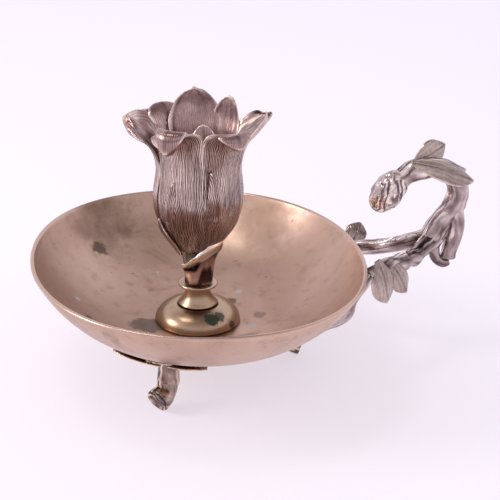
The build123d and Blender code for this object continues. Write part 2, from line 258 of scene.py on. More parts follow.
class Finish:
    """A metal's material, built up node by node."""

    def __init__(self, name, tree=None):
        if tree is None:
            self.material = bpy.data.materials.new(name)
            self.material.use_nodes = True
            tree = self.material.node_tree
        self.tree = tree
        self.tree.nodes.clear()

    def node(self, kind, settings=None, inputs=None, output=0):
        made = self.tree.nodes.new(kind)
        for key, value in (settings or {}).items():
            if key == "stops":
                ramp = made.color_ramp.elements
                while len(ramp) < len(value):
                    ramp.new(1.0)
                for element, (position, colour) in zip(ramp, value):
                    element.position = position
                    element.color = (*colour, 1)
            else:
                setattr(made, key, value)
        for key, value in (inputs or {}).items():
            if isinstance(value, Shade):
                self.tree.links.new(value.socket, made.inputs[key])
            else:
                made.inputs[key].default_value = value
        return Shade(self, made.outputs[output]) if made.outputs else None

    def place(self):
        return self.node("ShaderNodeTexCoord", output=3)

    def attribute(self, name, output=2):
        return self.node("ShaderNodeAttribute", {"attribute_name": name}, output=output)

    def stretched(self, vector, scale, move=(0, 0, 0)):
        return self.node("ShaderNodeMapping", None, {0: vector, 1: move, 3: scale})

    def noise(self, vector, scale, detail=3.0, rough=0.5, twist=0.0):
        values = {0: vector, 2: scale, 3: detail, 4: rough, 8: twist}
        return self.node("ShaderNodeTexNoise", {"normalize": True}, values)

    def range(self, value, low, high, to_low=0.0, to_high=1.0):
        settings = {"interpolation_type": "SMOOTHSTEP"}
        return self.node("ShaderNodeMapRange", settings, {0: value, 1: low, 2: high, 3: to_low, 4: to_high})

    def split(self, vector, axis):
        return self.node("ShaderNodeSeparateXYZ", None, {0: vector}, "XYZ".index(axis))

    def distance(self, vector, point):
        inputs = {0: vector, 1: point}
        return self.node("ShaderNodeVectorMath", {"operation": "DISTANCE"}, inputs, 1)

    def mix(self, factor, first, second):
        return self.node("ShaderNodeMix", {"data_type": "RGBA"}, {0: factor, 6: first, 7: second}, 2)

    def bump(self, height, strength, depth, normal=None):
        values = {0: strength, 1: depth, 3: height}
        if normal:
            values[4] = normal
        made = self.node("ShaderNodeBump", None, {})
        names = {0: "Strength", 1: "Distance", 3: "Height", 4: "Normal"}
        for key, value in values.items():
            socket = made.socket.node.inputs[names[key]]
            if isinstance(value, Shade):
                self.tree.links.new(value.socket, socket)
            else:
                socket.default_value = value
        return made

    def surface(self, colour, roughness, metallic, normal):
        inputs = {"Base Color": colour, "Roughness": roughness, "Metallic": metallic, "Normal": normal}
        metal = self.node("ShaderNodeBsdfPrincipled", None, inputs)
        self.node("ShaderNodeOutputMaterial", None, {0: metal})
        return self.material


def tint(red, green, blue):
    """A colour given as it looks on a screen, turned to the light values nodes use."""
    return (*[(c / 255) ** 2.2 for c in (red, green, blue)], 1)


METALS = {}

# %% [markdown]
# ## Aged brass
# The dish is yellow brass that has gone brown and satin with handling. It has soft clouds
# of lighter and darker metal, fine scratches where it was wiped round the pedestal, small
# dark pits, a few crumbs of wax and verdigris, and a bright worn rim. All of it is noise
# on Object coordinates, so it stays put whichever way the object is seen. A few stains and
# two broad bands of painted shade on the back of the bowl have a place of their own, so they are ragged
# patches about a point.


# %% Finish for the dish and the turned pieces
def patch(metal, at, point, size, ragged=0.6):
    """A ragged patch of the given size, in metres, about a point of the object."""
    edge = metal.noise(at, 1.6 / size, 5, 0.68)
    reach = metal.distance(at, point) * (1 / size) + (edge - 0.5) * (2.4 * ragged)
    soft = 0.9 if size > 0.01 else 0.28  # a stain has an edge, a shading fades away
    return metal.range(reach, 1.0, 1.0 - soft)


def smooth_brass(name, light, middle, dark, base_rough, green, patches=()):
    """Satin brass for cast and turned faces. patches: (colour, strength, point, size)."""
    metal = Finish(name)
    at = metal.place()
    relief = metal.attribute("relief")
    clouds = metal.noise(at, 17, 4, 0.55, 0.5)
    mottle = metal.noise(at, 190, 5, 0.62)
    colour = metal.mix(metal.range(clouds, 0.36, 0.66), middle, light)
    colour = metal.mix(metal.range(mottle, 0.50, 0.78) * 0.32, colour, dark)
    stain = metal.range(metal.noise(at, 31, 6, 0.66, 0.6), 0.60, 0.74)
    colour = metal.mix(stain * 0.42, colour, dark)
    scuffed = metal.range(metal.distance(at, (0.0, 0.0, 0.02)), 0.052, 0.02)
    hairs = metal.noise(metal.stretched(at, (1, 11, 3)), 210, 2, 0.5, 2.2)
    cross_hairs = metal.noise(metal.stretched(at, (9, 1.2, 3)), 190, 2, 0.5, 2.4)
    scratch = metal.range(hairs, 0.69, 0.73) + metal.range(cross_hairs, 0.70, 0.74)
    colour = metal.mix(scratch * (0.16 + scuffed * 0.50), colour, light)
    pits = metal.range(metal.noise(at, 520, 2, 0.5), 0.71, 0.76)
    colour = metal.mix(pits * 0.5, colour, tint(84, 70, 60))
    rubbed = metal.range(relief, 0.25, 0.9)
    colour = metal.mix(rubbed * 0.8, colour, light)
    hollow = metal.range(0 - relief, 0.2, 0.9)
    colour = metal.mix(hollow * 0.85, colour, tint(62, 52, 42))
    crumbs = metal.noise(at, 330, 4, 0.62)
    crust = metal.range(crumbs + metal.noise(at, 45, 2, 0.5) * 0.5, 1.03 - green, 1.08 - green)
    crust_colour = metal.mix(metal.range(clouds, 0.45, 0.55), tint(150, 176, 158), tint(206, 204, 204))
    colour = metal.mix(crust * 0.8, colour, crust_colour)
    dull = crust * 0.8
    # patches are stains, and on the dish also two broad bands of painted shade
    for paint, strength, point, size in patches:
        mask = patch(metal, at, point, size) * strength
        colour = metal.mix(mask, colour, paint)
        dull = dull + mask * 0.5
    rough = base_rough + mottle * 0.14 + stain * 0.10 - rubbed * 0.10 + dull * 0.4
    height = clouds * 0.6 + mottle * 0.10 - pits * 0.2 - scratch * 0.08 + crust * 0.25
    normal = metal.bump(height, 0.30, 0.0004)
    return metal.surface(colour, rough, 1 - dull * 0.8, normal)


GREEN_BLACK, PALE_CRUST = tint(52, 62, 52), tint(196, 200, 196)
dish_stains_and_painted_shade = [
    (tint(66, 56, 50), 0.75, (-0.030, 0.046, 0.0345), 0.0048),
    (tint(70, 66, 60), 0.65, (-0.021, -0.004, 0.0205), 0.0075),
    (GREEN_BLACK, 0.45, (-0.028, -0.020, 0.0225), 0.0050),
    (PALE_CRUST, 0.8, (-0.046, 0.008, 0.0290), 0.0016),
    (GREEN_BLACK, 0.7, (-0.044, -0.006, 0.0270), 0.0018),
    (PALE_CRUST, 0.8, (0.021, 0.018, 0.0215), 0.0018),
    (PALE_CRUST, 0.5, (-0.054, -0.030, 0.0345), 0.0034),
    (GREEN_BLACK, 0.6, (0.016, 0.012, 0.0205), 0.0030),
    (PALE_CRUST, 0.6, (0.0190, -0.0120, 0.0205), 0.0024),
    (GREEN_BLACK, 0.35, (0.0240, -0.0040, 0.0210), 0.0030),
    (tint(120, 104, 96), 0.4, (0.0160, -0.0230, 0.0215), 0.0050),
    # painted shade: these two broad, soft patches darken the back-left and back-right of the bowl's inner
    # wall; they are not stains
    (tint(112, 84, 66), 0.7, (-0.0260, 0.0570, 0.0420), 0.0240),
    (tint(120, 92, 74), 0.5, (0.0400, 0.0460, 0.0400), 0.0240),
]
dome_patches = [
    (GREEN_BLACK, 0.95, (0.0025, -0.0125, 0.0245), 0.0034),
    (GREEN_BLACK, 0.8, (0.0060, -0.0115, 0.0250), 0.0026),
    (tint(60, 52, 40), 0.8, (0.0110, -0.0120, 0.0215), 0.0018),
]
METALS["dish_brass"] = smooth_brass(
    "dish_brass", tint(210, 180, 162), tint(186, 154, 136), tint(110, 86, 70), 0.28, 0.05, dish_stains_and_painted_shade
)
METALS["turned_brass"] = smooth_brass(
    "turned_brass", tint(202, 176, 148), tint(170, 143, 118), tint(96, 76, 60), 0.22, 0.10, dome_patches
)
METALS["socket_brass"] = smooth_brass(
    "socket_brass", tint(150, 120, 84), tint(120, 96, 70), tint(70, 56, 44), 0.38, 0.06
)
METALS["fastener_brass"] = smooth_brass(
    "fastener_brass", tint(190, 156, 106), tint(160, 130, 88), tint(100, 80, 56), 0.30, 0.05
)

# %% [markdown]
# ## Chased bronze
# The flower, the branch and the leaves were chased: fine lines were cut along each piece
# after casting. Brown patina stays in the lines and the ridges are rubbed to copper and
# gold. The lines follow the grain attribute, because they bend with the petals.


# %% Finish for the chased pieces
def tones(*colours):
    """Five tints, from the bottom of a cut to a rubbed ridge."""
    return [tint(*colour) for colour in colours]


def chased_bronze(name, tints, lines, cut_share, depth, base_rough, dusty=0.28):
    """Patinated bronze with cut lines. tints run from hollow to ridge, and lines is how
    many run across a millimetre. cut_share weighs the lines against the cast form, and the
    second grain value fades them where a face was left smooth."""
    metal = Finish(name)
    at = metal.place()
    grain = metal.attribute("grain", 1)
    relief = metal.attribute("relief")
    drift = metal.noise(metal.stretched(grain, (0.22, 0.22, 0.09)), 1.0, 2, 0.5)
    across = metal.split(grain, "X") * (2 * pi * lines) + drift * 20.0
    even = across.math("SINE", across, 0.0) * 0.5 + 0.5
    along = metal.stretched(grain, (lines * 1.1, lines * 1.1, lines * 0.06))
    streaks = metal.noise(along, 1.0, 2, 0.5, 0.1)
    cut = metal.range(even * 0.55 + streaks * 0.75, 0.42, 0.86)
    clouds = metal.noise(at, 60, 4, 0.6, 0.3)
    speckle = metal.noise(at, 800, 3, 0.6)
    share = (1 - metal.split(grain, "Y")) * cut_share
    tone = 0.47 + (cut - 0.5) * share + relief * 0.42 + (clouds - 0.5) * 0.9 + (speckle - 0.5) * 0.22
    stops = [(place, colour[:3]) for place, colour in zip((0.0, 0.25, 0.5, 0.75, 1.0), tints)]
    colour = metal.node("ShaderNodeValToRGB", {"stops": stops}, {0: tone})
    dust = metal.range(metal.noise(at, 210, 5, 0.7), 0.58, 0.74)
    colour = metal.mix(dust * dusty, colour, tint(190, 180, 180))
    rough = base_rough + (clouds - 0.5) * 0.2 + dust * 0.25 - (tone - 0.3) * 0.10
    height = cut * share + clouds * 0.25 + speckle * 0.05
    normal = metal.bump(height, 0.85, depth)
    return metal.surface(colour, rough, 1 - dust * dusty * 1.4, normal)


flower_tones = tones((44, 32, 32), (112, 88, 88), (170, 142, 138), (220, 198, 190), (253, 238, 222))
handle_tones = tones((62, 54, 54), (124, 108, 106), (172, 154, 152), (214, 198, 194), (250, 236, 226))
leaf_tones = tones((74, 64, 60), (126, 112, 104), (168, 152, 144), (208, 192, 180), (246, 230, 206))
foot_tones = tones((50, 42, 42), (112, 96, 92), (160, 140, 130), (208, 186, 168), (250, 232, 206))
METALS["flower_bronze"] = chased_bronze("flower_bronze", flower_tones, 1.5, 0.68, 0.00026, 0.24)
METALS["handle_bronze"] = chased_bronze("handle_bronze", handle_tones, 0.35, 0.12, 0.00020, 0.26, 0.35)
METALS["leaf_bronze"] = chased_bronze("leaf_bronze", leaf_tones, 0.7, 0.10, 0.00008, 0.26)
METALS["foot_bronze"] = chased_bronze("foot_bronze", foot_tones, 0.4, 0.16, 0.00015, 0.24, 0.2)
print("finishes:", sorted(METALS))

# %% [markdown]
# ## The dish
# A cast bowl with a thin wall and a flat rim. Its section is drawn once, outer face, lip,
# inner face and seat, and spun about the candle's axis. The round bowl is then drawn out
# to an oval, a little squarer toward the corners than a true ellipse, as the pattern was.


# %% Dish
def dish_section():
    """Outer face, rounded lip and inner face, as (radius, height, relief)."""
    inner_reach = HALF_LENGTH - LIP
    shares = [(i / 40) ** 0.8 for i in range(41)]
    outer = [(k * HALF_LENGTH, wall_z(k), 0.0) for k in shares if k * HALF_LENGTH > ROD_HOLE_R]
    inner = [(k * inner_reach, wall_z(k, SEAT_Z - 0.45), 0.0) for k in shares if k > 0.36]
    outer[-1] = (HALF_LENGTH - 0.02, RIM_Z - 0.75, 0.5)
    inner[-1] = (inner_reach + 0.02, RIM_Z - 0.75, 0.5)
    lip = [(HALF_LENGTH - 0.22, RIM_Z - 0.22, 1.0), (HALF_LENGTH - 0.6, RIM_Z, 0.9)]
    lip += [(inner_reach + 0.6, RIM_Z, 0.6), (inner_reach + 0.22, RIM_Z - 0.22, 1.0)]
    seat = [(17.5, SEAT_Z, 0.0), (ROD_HOLE_R, SEAT_Z, 0.0)]
    return outer + lip + inner[::-1] + seat


def drawn_out(spot):
    """Turns a point of the round bowl into the oval one."""
    angle = atan2(spot.y, spot.x)
    share = hypot(spot.x, spot.y) / (HALF_LENGTH * MM)
    corner = 0.85 * share**3 * cos(4 * (angle + radians(53)))
    wave = 0.12 * share * noise.noise(Vector((cos(angle), sin(angle), share)) * 2.2)
    out = 1 + (corner + wave) / HALF_LENGTH
    return Vector((spot.x * out, spot.y * out * HALF_WIDTH / HALF_LENGTH, spot.z))


def spun(bm, section, steps):
    """Spins a closed section about the candle's axis."""
    relief = bm.verts.layers.float["relief"]
    ring = []
    for radius, height, wear_and_painted_shade in section:
        vert = bm.verts.new((radius * MM, 0, height * MM))
        vert[relief] = wear_and_painted_shade
        ring.append(vert)
    loop = [bm.edges.new(pair) for pair in zip(ring, ring[1:] + ring[:1])]
    turn = {"cent": (0, 0, 0), "axis": (0, 0, 1), "angle": 2 * pi}
    bmesh.ops.spin(bm, geom=ring + loop, steps=steps, use_merge=True, **turn)
    bmesh.ops.recalc_face_normals(bm, faces=bm.faces)


bm, grain, relief = new_mesh()
spun(bm, dish_section(), 192)
for vert in bm.verts:
    vert.co = drawn_out(vert.co)
settle(bm, "oval_dish", "dish", "dish_brass")

# %% [markdown]
# ## The pedestal
# A turner made the dome, the neck and the collar on a lathe. Each is a spun section with
# its small fillets and the scribed line where the dome meets the neck.

# %% Dome, neck and collar
NECK_R = 4.4


def turned(name, node, section):
    """A lathe-turned piece."""
    bm, grain, relief = new_mesh()
    spun(bm, section, 96)
    return settle(bm, name, node, "turned_brass")


dome = [(ROD_HOLE_R, SEAT_Z, 0), (DOME_R - 0.3, SEAT_Z, -0.6), (DOME_R, SEAT_Z + 0.5, -0.3)]
for step in range(1, 13):
    share = step / 12
    radius = DOME_R - (DOME_R - 8.1) * share**1.55
    height = SEAT_Z + 0.5 + (SEAM_Z - 0.6 - SEAT_Z) * (1 - (1 - share) ** 1.75)
    dome.append((radius, height, 0.12))
dome += [(7.9, SEAM_Z - 0.35, -0.8), (7.6, SEAM_Z - 0.3, -0.9), (ROD_HOLE_R, SEAM_Z - 0.3, 0)]
turned("turned_dome", "base_dome", dome)

neck = [(ROD_HOLE_R, SEAM_Z, 0), (7.4, SEAM_Z, -0.6), (7.75, SEAM_Z + 0.3, 0.7)]
for step in range(0, 15):
    share = step / 14
    radius = NECK_R + 3.2 * (1 - share) ** 2.1 + 0.55 * share**4
    neck.append((radius, SEAM_Z + 0.55 + (COLLAR_Z - SEAM_Z - 0.55) * share, 0.1))
neck.append((ROD_HOLE_R, COLLAR_Z, 0))
turned("turned_neck", "neck_spool", neck)

mid_z = (COLLAR_Z + FLOWER_Z) / 2
collar = [(ROD_HOLE_R, COLLAR_Z, 0), (COLLAR_R - 0.7, COLLAR_Z, -0.2)]
collar += [(COLLAR_R - 0.15, COLLAR_Z + 0.25, 0.5), (COLLAR_R, mid_z, 0.9)]
collar += [(COLLAR_R - 0.15, FLOWER_Z - 0.2, 0.9), (COLLAR_R - 0.6, FLOWER_Z, 0.5)]
collar += [(5.6, FLOWER_Z - 0.1, -0.4), (ROD_HOLE_R, FLOWER_Z, 0)]
turned("collar_disc", "collar_ring", collar)

# %% [markdown]
# ## The flower
# The flower is a tulip-like cup of broad petals that overlap at their edges. The lower
# part is closed, the mouth opens, and each petal's end rolls out its own way. Modelling
# the petals as separate sheets from the stem up gives the real overlaps and the dark gaps
# between them. A plain core stands behind them, round the candle socket.

# %% The cup's outline
CUP = [(4.8, 35.8), (5.3, 42.0), (6.6, 48.6), (9.2, 55.0), (13.3, 61.0), (15.7, 67.0)]
CUP += [(16.4, 73.5), (15.9, 79.5), (15.7, 84.0)]
FRONT = -105.0  # the azimuth that faces the viewer, degrees
CORE_WALL = 1.3
CORE_FLOOR_Z = 58.2  # the closed stem ends here and the hollow for the socket begins
SHOULDER_Z = 60  # above it the outline eases from one station to the next
SHOULDER_EASE = 3


def cup_radius(height):
    """Outer radius of the closed part of the flower at a height."""
    for (r0, z0), (r1, z1) in zip(CUP, CUP[1:]):
        if height <= z1:
            if z0 > SHOULDER_Z:
                return r0 + (r1 - r0) * smooth(z0 - SHOULDER_EASE, z1 + SHOULDER_EASE, height)
            return r0 + (r1 - r0) * max(height - z0, 0) / (z1 - z0)
    return CUP[-1][0]


bm, grain, relief = new_mesh()
heights = [FLOWER_Z + (CUP_TOP_Z + 3 - FLOWER_Z) * i / 60 for i in range(61)]
core = [(cup_radius(z) - 0.75 * smooth(47, 56, z), z, -0.55 * smooth(48, 58, z)) for z in heights]
inner = [(max(r - CORE_WALL, ROD_HOLE_R), z, -0.8) for r, z, wear_and_painted_shade in core if z > CORE_FLOOR_Z]
section = core + inner[::-1] + [(ROD_HOLE_R, CORE_FLOOR_Z, -0.8), (ROD_HOLE_R, FLOWER_Z, -0.5)]
spun(bm, section, 160)
for vert in bm.verts:
    angle = atan2(vert.co.y, vert.co.x)
    height = vert.co.z / MM
    sweep = angle + 0.5 * smooth(60, 44, height)
    vert[grain] = (12 * cos(sweep), 12 * sin(sweep), height)
    ridge = noise.noise(Vector((cos(sweep) * 7, sin(sweep) * 7, height * 0.05)))
    push = 1 + 0.035 * ridge * smooth(37, 46, height)
    vert.co.x *= push
    vert.co.y *= push
    vert[relief] += 0.9 * ridge * smooth(37, 46, height)
settle(bm, "flower_core", "flower_cup", "flower_bronze")

# %% [markdown]
# ## Petals
# Every petal has one line up its middle, from the stem out to the tip, with its half
# width at each station. Its two upper corners can be pushed out, up or down, its margin
# can ripple, and one edge stands proud so that it laps over its neighbour.


# %% Petals
FOLD_DEPTH = 0.3


def petal(name, azimuth, line, corners, ripple, lap, end, plain=0.0):
    """One petal. line: (radius, height, half width) stations; corners: ((out, up) left, right).

    ripple: the margin's (strength, waves, phase); lap lifts one edge over the neighbour;
    end: where the outline starts to close; plain: how far the cut lines fade."""
    bm = new_mesh()[0]

    def place(t, s):
        radius, height, half = through(line, s)
        half *= rounded(s, end)
        top = smooth(0.5, 1.0, s)
        out, up = corners[0] if t < 0 else corners[1]
        strength, waves, phase = ripple
        corner = abs(t) ** 1.8 * top
        margin = smooth(0.62, 1.0, s)
        wave = strength * sin(waves * pi * t + phase) * margin
        radius += out * corner + wave * 0.6
        height += up * corner + wave
        body = smooth(0.02, 0.2, s)
        lapped = lap * smooth(0.55, 1.0, t) - 0.25 * smooth(0.6, 1.0, -t)
        dent = noise.noise(Vector((t * 5, s * 2.5, azimuth)))
        fold = FOLD_DEPTH * cos(t * pi * 2.4 + 1.0) + 0.18 * dent
        radius += (lapped + fold) * body * (1 - 0.5 * top)
        angle = radians(azimuth) + t * half / max(radius, 7.0)
        spot = (radius * cos(angle), radius * sin(angle), height)
        edge = smooth(0.82, 1.0, abs(t)) * smooth(0.15, 0.5, s)
        tip = smooth(0.90, 1.0, s)
        low = smooth(0.28, 0.0, s)
        wear_and_painted_shade = 0.65 * max(edge, tip) - 0.45 * low - 0.5 * bump_at(0.0, 0.05, s - 0.33) * 0.3
        wear_and_painted_shade -= 0.55 * smooth(0.35, 0.1, abs(abs(t) - 0.72) / 0.3) * 0.4 * (1 - top)
        swirl = 2.6 * smooth(0.45, 0.0, s) * sin(s * 15 + azimuth)
        faint = max(plain, 0.75 * smooth(0.78, 0.95, s))
        return spot, (t * 11 + swirl, faint, s * 60), wear_and_painted_shade

    laid_blade(bm, 64, 110, place, 1.0)
    capped(bm)
    return settle(bm, name + "_blade", name, "flower_bronze")


petal(
    "petal_back", 82,
    [(8.4, 54, 5), (14.8, 63, 8.5), (16.2, 72, 9.5), (15.4, 84, 10), (17.2, 92, 11),
     (19.2, 97.5, 11.4), (21.2, 102.6, 11), (22.0, 107.4, 10)],
    ((-0.5, -1.0), (-0.5, -1.0)), ripple=(0.4, 2.0, 1.0), lap=-0.4, end=0.62, plain=0.8,
)
petal(
    "petal_back_right", 43,
    [(8.4, 54, 4.5), (14.8, 63, 7.5), (16.4, 72, 7.5), (15.6, 84, 7.0), (17.4, 92, 7.2),
     (19.6, 98, 7.6), (21.2, 105.2, 7.0)],
    ((-1.0, -0.5), (-1.0, 0.0)), ripple=(0.3, 2.0, 0.0), lap=0.5, end=0.62, plain=0.8,
)
petal(
    "petal_right", -5,
    [(8.4, 54, 5.5), (14.8, 63, 9.5), (16.4, 73, 9.5), (15.5, 84, 9.0), (17.8, 92, 10),
     (22.4, 97, 10.5), (27.2, 102.4, 9.5)],
    ((-2.5, 1.0), (-3.5, 2.0)), ripple=(0.8, 1.5, 0.6), lap=0.4, end=0.76,
)
petal(
    "petal_left", 150,
    [(8.4, 54, 6.0), (14.8, 63, 10), (16.4, 73, 11.5), (15.6, 84, 12.5), (18.0, 91.5, 15.0),
     (22.8, 96.6, 18.5), (27.6, 99.0, 18.5)],
    ((0.5, 0.5), (0.0, 0.0)), ripple=(1.6, 3.4, 0.9), lap=0.5, end=0.84, plain=0.8,
)
petal(
    "petal_front_right", -64,
    [(8.0, 52, 5.6), (14.2, 61.5, 9.4), (16.4, 71, 10.2), (15.6, 82, 10.0), (16.8, 90.5, 10.5),
     (18.8, 96.2, 11.0), (21.4, 98.6, 10.8), (23.6, 97.8, 9.5)],
    ((-2.5, 3.5), (-1.0, 1.0)), ripple=(1.0, 2.5, 2.0), lap=0.6, end=0.72,
)
petal(
    "petal_front_left", -131,
    [(8.0, 51, 6.0), (14.4, 61, 9.8), (16.6, 71, 10.3), (15.7, 82, 10.2), (16.4, 90.5, 10.4),
     (18.4, 97.6, 10.8), (21.2, 100.6, 10.4), (23.6, 99.6, 9.2)],
    ((1.5, -2.5), (-1.0, 3.0)), ripple=(0.9, 2.0, -0.6), lap=0.9, end=0.72,
)


# %% [markdown]
# ## Lips, tongues and a bract
# The large petals have small parts of their own: two lips that roll out and hang from the
# front ones, a tip between them, two pointed tongues on the body, a lobe behind the left
# petal and a bract low on the left. Each is cast in one with its petal, so it stands for
# that petal's node. A separate closed blade keeps its edge crisp where it leaves the body.

# %% Small parts of the petals
def small_petal(name, node, azimuth, line, end=0.5, curl=0.3, lean=0.0, plain=0.8):
    """A lobe on a larger petal; line: (radius, height, half width) from its root to its tip."""
    bm = new_mesh()[0]

    def place(t, s):
        radius, height, half = through(line, s)
        y = t * half * rounded(s, end)
        angle = radians(azimuth) + (y + lean * s * s) / radius
        radius += curl * t * t * half * 0.3
        spot = (radius * cos(angle), radius * sin(angle), height - 0.6 * t * t * s)
        rim = smooth(0.8, 1.0, abs(t)) + smooth(0.9, 1.0, s)
        return spot, (y, plain, s * 20), 0.9 * min(rim, 1) - 0.4 * bump_at(0, 0.12, t)

    laid_blade(bm, 28, 40, place, 1.1)
    capped(bm)
    return settle(bm, name, node, "flower_bronze")


small_petal(
    "left_lip", "petal_front_left", -131,
    [(16.6, 94, 4.0), (19.6, 101.0, 5.6), (22.8, 102.8, 6.4), (25.4, 100.4, 6.2), (25.4, 95.2, 5.0)],
    end=0.55, curl=-0.9,
)
small_petal(
    "right_lip", "petal_front_right", -66,
    [(16.8, 93, 4.0), (19.0, 98.6, 6.0), (21.8, 101.0, 7.0), (24.2, 99.8, 6.6), (24.8, 96.6, 5.4)],
    end=0.55, curl=-0.7,
)
small_petal(
    "middle_tip", "petal_front_right", -97,
    [(15.6, 86, 3.0), (16.4, 94, 4.2), (16.8, 100, 4.6), (15.4, 104.4, 4.2)],
)
small_petal(
    "front_tongue", "petal_front_right", -77,
    [(16.0, 66, 1.6), (17.2, 73, 3.4), (17.4, 79, 3.2), (17.2, 86.5, 1.4)],
    end=0.4, curl=-0.6, lean=-3.0, plain=0.2,
)
small_petal(
    "left_tongue", "petal_front_left", -143,
    [(15.8, 62, 1.4), (17.0, 69, 2.6), (17.3, 75, 2.4), (17.4, 81.5, 1.0)],
    end=0.4, curl=-0.6, lean=2.4, plain=0.2,
)
small_petal(
    "left_rear_lobe", "petal_left", 112,
    [(16.6, 88, 4.0), (19.4, 95, 6.5), (22.6, 99.4, 7.5), (25.6, 101.6, 7.0)], curl=0.8,
)
small_petal(
    "left_bract", "petal_left", -164,
    [(8.0, 49, 1.6), (11.6, 54, 2.8), (15.4, 60, 2.6), (16.8, 65.0, 1.0)], end=0.4, curl=-0.4,
)

# %% [markdown]
# ## Sheath leaf on the stem
# A small leaf wraps the front of the flower's stem above the collar. Its upper margin is
# rolled outward and runs up to the right; its crest is rubbed bright, and painted shade darkens the hollow
# under it.


# %% Sheath leaf
def sheath(t, s):
    """The leaf follows the stem, leaves it toward its margin and rolls over."""
    top_z = 44.5 + 11.5 * smooth(-0.95, 0.6, t) - 3.0 * smooth(0.7, 1.0, t)
    height = 36.3 + (top_z - 36.3) * min(s / 0.66, 1.0)
    roll = pi * 0.95 * smooth(0.64, 1.02, s)
    flare = smooth(0.3, 0.66, s)
    size = 0.4 + 1.9 * smooth(-0.9, 0.4, t) * smooth(1.15, 0.7, t)
    radius = cup_radius(min(height, 50.0)) + 0.6 + 0.9 * flare + 0.8 * size * sin(roll)
    height += size * 0.6 * sin(roll) - size * 1.25 * (1 - cos(roll))
    angle = radians(FRONT + 12) + t * radians(78 - 14 * s)
    spot = (radius * cos(angle), radius * sin(angle), height)
    # painted shade: the band under the rolled lip (s near 0.5) and the tucked-in end of the roll are
    # darkened; the lip's crest is rubbed bright
    wear_and_painted_shade = 0.9 * smooth(0.70, 0.80, s) - 0.7 * smooth(0.95, 1.0, s) - 0.5 * bump_at(0.5, 0.14, s)
    return spot, (s * 1.4, 0, t * 9), wear_and_painted_shade - 0.2


bm = new_mesh()[0]
laid_blade(bm, 64, 48, sheath, 0.8)
capped(bm)
settle(bm, "rolled_sheath_leaf", "stem_sheath_leaf", "flower_bronze")

# %% [markdown]
# ## The branch handle
# The handle is a casting of a cut branch. It starts at a fork, rises, curls over toward
# the candle and ends in a bud. Real bark runs in long ridges with knots, so a limb is a
# grid wrapped round a curve, and the ridges and knots move its radius in and out.


# %% Limbs
def limb(bm, stations, sides, rings, bark, seed):
    """A round limb along (x, y, z, radius) stations, with bark ridges that follow it."""
    steps = [Vector(through(stations, i / 200)[:3]) for i in range(201)]
    lengths = [0.0]
    for a, b in zip(steps, steps[1:]):
        lengths.append(lengths[-1] + (b - a).length)
    frames = []
    side = Vector((0.05, 1.0, 0.02))
    for i in range(rings + 1):
        s = i / rings
        ahead, behind = through(stations, min(s + 0.01, 1)), through(stations, max(s - 0.01, 0))
        run = Vector(ahead[:3]) - Vector(behind[:3])
        run.normalize()
        side = (side - run * side.dot(run)).normalized()
        frames.append((side.copy(), run.cross(side)))

    def place(t, s):
        x, y, z, radius = through(stations, s)
        side, other = frames[round(s * rings)]
        angle = pi * t
        length = lengths[round(s * 200)]
        swirl = angle + 0.25 * sin(s * 7 + seed)
        ring = Vector((cos(swirl), sin(swirl), 0)) * 1.7
        ridge = noise.noise(ring + Vector((seed, 0, length * 0.045)))
        fine = noise.noise(ring * 3.1 + Vector((0, seed, length * 0.09)))
        lump = noise.noise(Vector((cos(angle), sin(angle), length * 0.16 + seed * 3)))
        deep = ridge * 0.9 + fine * 0.5
        reach = radius * (1 + bark * 0.42 * deep + 0.13 * lump)
        spot = Vector((x, y, z)) + (side * cos(angle) + other * sin(angle)) * reach
        return spot, (radius * cos(swirl), radius * sin(swirl), length), bark * 3.4 * deep + 0.9 * lump

    return laid_grid(bm, sides, rings, place)


def cut_end(bm, faces, depth):
    """Turns a limb's flat end into a saw cut: a raised ring of bark round a hollow face."""
    relief = bm.verts.layers.float["relief"]
    for face in faces:
        bmesh.ops.inset_region(bm, faces=[face], thickness=0.5 * MM, depth=0)
        bmesh.ops.inset_region(bm, faces=[face], thickness=0.35 * MM, depth=-depth * MM)
        for vert in face.verts:
            vert[relief] = -0.4


STEM = [(95.2, 0, 44.0, 4.6), (97.4, 0, 49.2, 4.9), (100.6, 0, 54.2, 4.6), (103.6, 0, 58.0, 4.7)]
STEM += [(105.6, 0, 62.5, 4.4), (105.6, 0, 67.5, 4.3), (103.6, 0, 72.2, 4.4), (99.6, 0, 75.0, 4.0)]
STEM += [(94.6, 0, 76.0, 4.1), (90.0, 0, 76.0, 4.7), (86.4, 0, 75.2, 4.7), (83.2, 0, 73.6, 4.0)]
STEM += [(80.6, 0, 71.4, 4.0)]
PRUNED = [(104.0, -0.8, 60.5, 3.0), (105.6, -1.0, 54.0, 3.6)]
PRUNED += [(105.6, -0.8, 47.0, 3.5), (104.2, -0.4, 40.6, 3.1)]
PRUNED += [(103.8, -0.2, 37.4, 3.3)]
HOOK = [(97.0, -0.5, 44.5, 2.8), (97.4, -0.6, 40.5, 2.4), (98.8, -0.6, 37.0, 2.1), (101.6, -0.7, 35.0, 2.0)]
HOOK += [(104.0, -0.8, 35.4, 1.7)]

bm = new_mesh()[0]
limb(bm, STEM, 56, 170, 0.13, 1.7)
limb(bm, PRUNED, 40, 60, 0.14, 5.1)
limb(bm, HOOK, 28, 44, 0.10, 3.3)
cut_end(bm, capped(bm), 0.5)
settle(bm, "curled_stem", "handle_stem", "handle_bronze")

# %% [markdown]
# Two branches run from the fork to the dish, one in front and one lower down behind. They
# are thinner, knotted where side twigs were cut off, and sink into the dish's outer wall.

